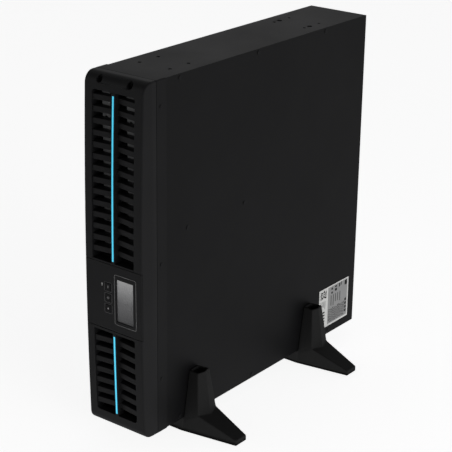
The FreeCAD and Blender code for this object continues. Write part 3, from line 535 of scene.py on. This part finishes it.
def display_details():
    probe = front_probe("display_plate")
    low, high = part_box("display_window")

    def level(x, z):
        found = probe(x, z)
        return found if found is not None else low.y

    loop = rounded_loop(low.x - OUTLINE_LEFT * MM, high.x + OUTLINE_RIGHT * MM,
                        low.z - OUTLINE_DOWN * MM, high.z + OUTLINE_UP * MM, OUTLINE_RADIUS * MM)
    ridge_loop("display_outline", loop, level, OUTLINE_HALF * MM, OUTLINE_PROUD * MM, "outline_silver")
    half_x, half_z = SURROUND_HALF_X * MM, SURROUND_HALF_Z * MM
    for key in ("power_key", "scroll_key", "enter_key"):
        cx, _, cz = key_face(key)
        loop = rounded_loop(cx - half_x, cx + half_x, cz - half_z, cz + half_z, SURROUND_RADIUS * MM, 5)
        ridge_loop(key + "_surround", loop, level, SURROUND_HALF * MM, SURROUND_PROUD * MM, "surround_grey")
    icon("enter_key", [(-0.5, 0.5, -1.6, 1.6)])
    icon_ring("scroll_key", 1.0 * MM, 1.5 * MM)
    icon_ring("power_key", 0.0, 1.2 * MM)


def key_face(key):
    low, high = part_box(key)
    return (low.x + high.x) / 2, low.y, (low.z + high.z) / 2


def icon(key, plates):
    cx, y, cz = key_face(key)
    rects = [(cx + a * MM, cx + b * MM, cz + c * MM, cz + d * MM) for a, b, c, d in plates]
    mesh = slab_mesh(key + "_mark", rects, "y", y + 0.02 * MM, -0.07 * MM)
    add_piece(key + "_mark", mesh, BODY_OF[key], PRINT_FINISHES["icon_grey"])


def icon_ring(key, inner, outer):
    """A flat printed ring, or a dot where the inner radius is nothing."""
    cx, y, cz = key_face(key)
    steps = 28
    back, front = y + 0.02 * MM, y - 0.05 * MM
    work = bmesh.new()
    rings = []
    for radius, depth in ((inner, back), (inner, front), (outer, front), (outer, back)):
        if radius:
            angles = [2 * math.pi * k / steps for k in range(steps)]
            rings.append([work.verts.new((cx + radius * math.cos(a), depth, cz + radius * math.sin(a)))
                          for a in angles])
    if inner:
        rings.append(rings[0])
        for one, two in zip(rings, rings[1:]):
            for k in range(steps):
                nxt = (k + 1) % steps
                work.faces.new((one[k], one[nxt], two[nxt], two[k]))
    else:
        work.faces.new(rings[0])
        work.faces.new(rings[1])
        for k in range(steps):
            nxt = (k + 1) % steps
            work.faces.new((rings[0][k], rings[0][nxt], rings[1][nxt], rings[1][k]))
    bmesh.ops.recalc_face_normals(work, faces=work.faces)
    mesh = bpy.data.meshes.new(key + "_mark")
    work.to_mesh(mesh)
    work.free()
    add_piece(key + "_mark", mesh, BODY_OF[key], PRINT_FINISHES["icon_grey"])


# ---- rating label ----
def label_details():
    """Generic print on the label: a tinted panel, a block of squares and rows of short bars, no words."""
    low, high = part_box("rating_label")
    deep, tall = high.y - low.y, high.z - low.z
    face = high.x

    def rect(u0, u1, v0, v1):
        return (low.y + u0 * deep, low.y + u1 * deep, high.z - v1 * tall, high.z - v0 * tall)

    draw = random.Random(5)
    layers = {"label_tint": [rect(0.30, 0.965, 0.03, 0.955)], "ink_black": [], "ink_grey": []}
    cells = 11
    for row in range(cells):
        for column in range(cells):
            if draw.random() < 0.56:
                u, v = 0.045 + 0.2 * column / cells, 0.045 + 0.2 * row / cells
                layers["ink_black"].append(rect(u, u + 0.2 / cells, v, v + 0.2 / cells))
    for k in range(4):
        u = 0.06 + 0.045 * k
        layers["ink_grey"].append(rect(u, u + 0.012, 0.31, 0.42 + 0.1 * draw.random()))
    for k in range(5):
        v = 0.58 + 0.075 * k
        layers["ink_black"].append(rect(0.13, 0.20, v, v + 0.035))
    marks = [(0.41, 0.46, 0.07, 0.12), (0.41, 0.46, 0.17, 0.22), (0.53, 0.60, 0.06, 0.10),
             (0.53, 0.60, 0.13, 0.19), (0.67, 0.71, 0.05, 0.14), (0.74, 0.76, 0.03, 0.12),
             (0.87, 0.945, 0.05, 0.17)]
    layers["ink_black"] += [rect(*m) for m in marks]
    for k in range(5):
        u = 0.40 + 0.075 * k
        layers["ink_grey"].append(rect(u, u + 0.022, 0.26, 0.40 + 0.14 * draw.random()))
    for column in range(13):
        u, v = 0.335 + 0.042 * column, 0.56 + 0.05 * draw.random()
        while v < 0.9:
            run = 0.015 + 0.05 * draw.random()
            layers["ink_grey"].append(rect(u, u + 0.024, v, min(v + run, 0.93)))
            v += run + 0.012
    for k in range(4):
        v = 0.52 + 0.095 * k
        layers["ink_black"].append(rect(0.885, 0.94, v, v + 0.065))
    for order, name in enumerate(("label_tint", "ink_grey", "ink_black")):
        mesh = slab_mesh("rating_" + name, layers[name], "x", face - 0.02 * MM, (0.04 + 0.02 * order) * MM)
        add_piece("rating_" + name, mesh, BODY_OF["rating_label"],
                  PRINT_FINISHES[name])


bpy.context.scene.view_settings.view_transform = "Standard"
make_camera()
make_world()
make_floor()
for light in SOFTBOXES:
    softbox(*light)
finish_cad()
display_details()
label_details()
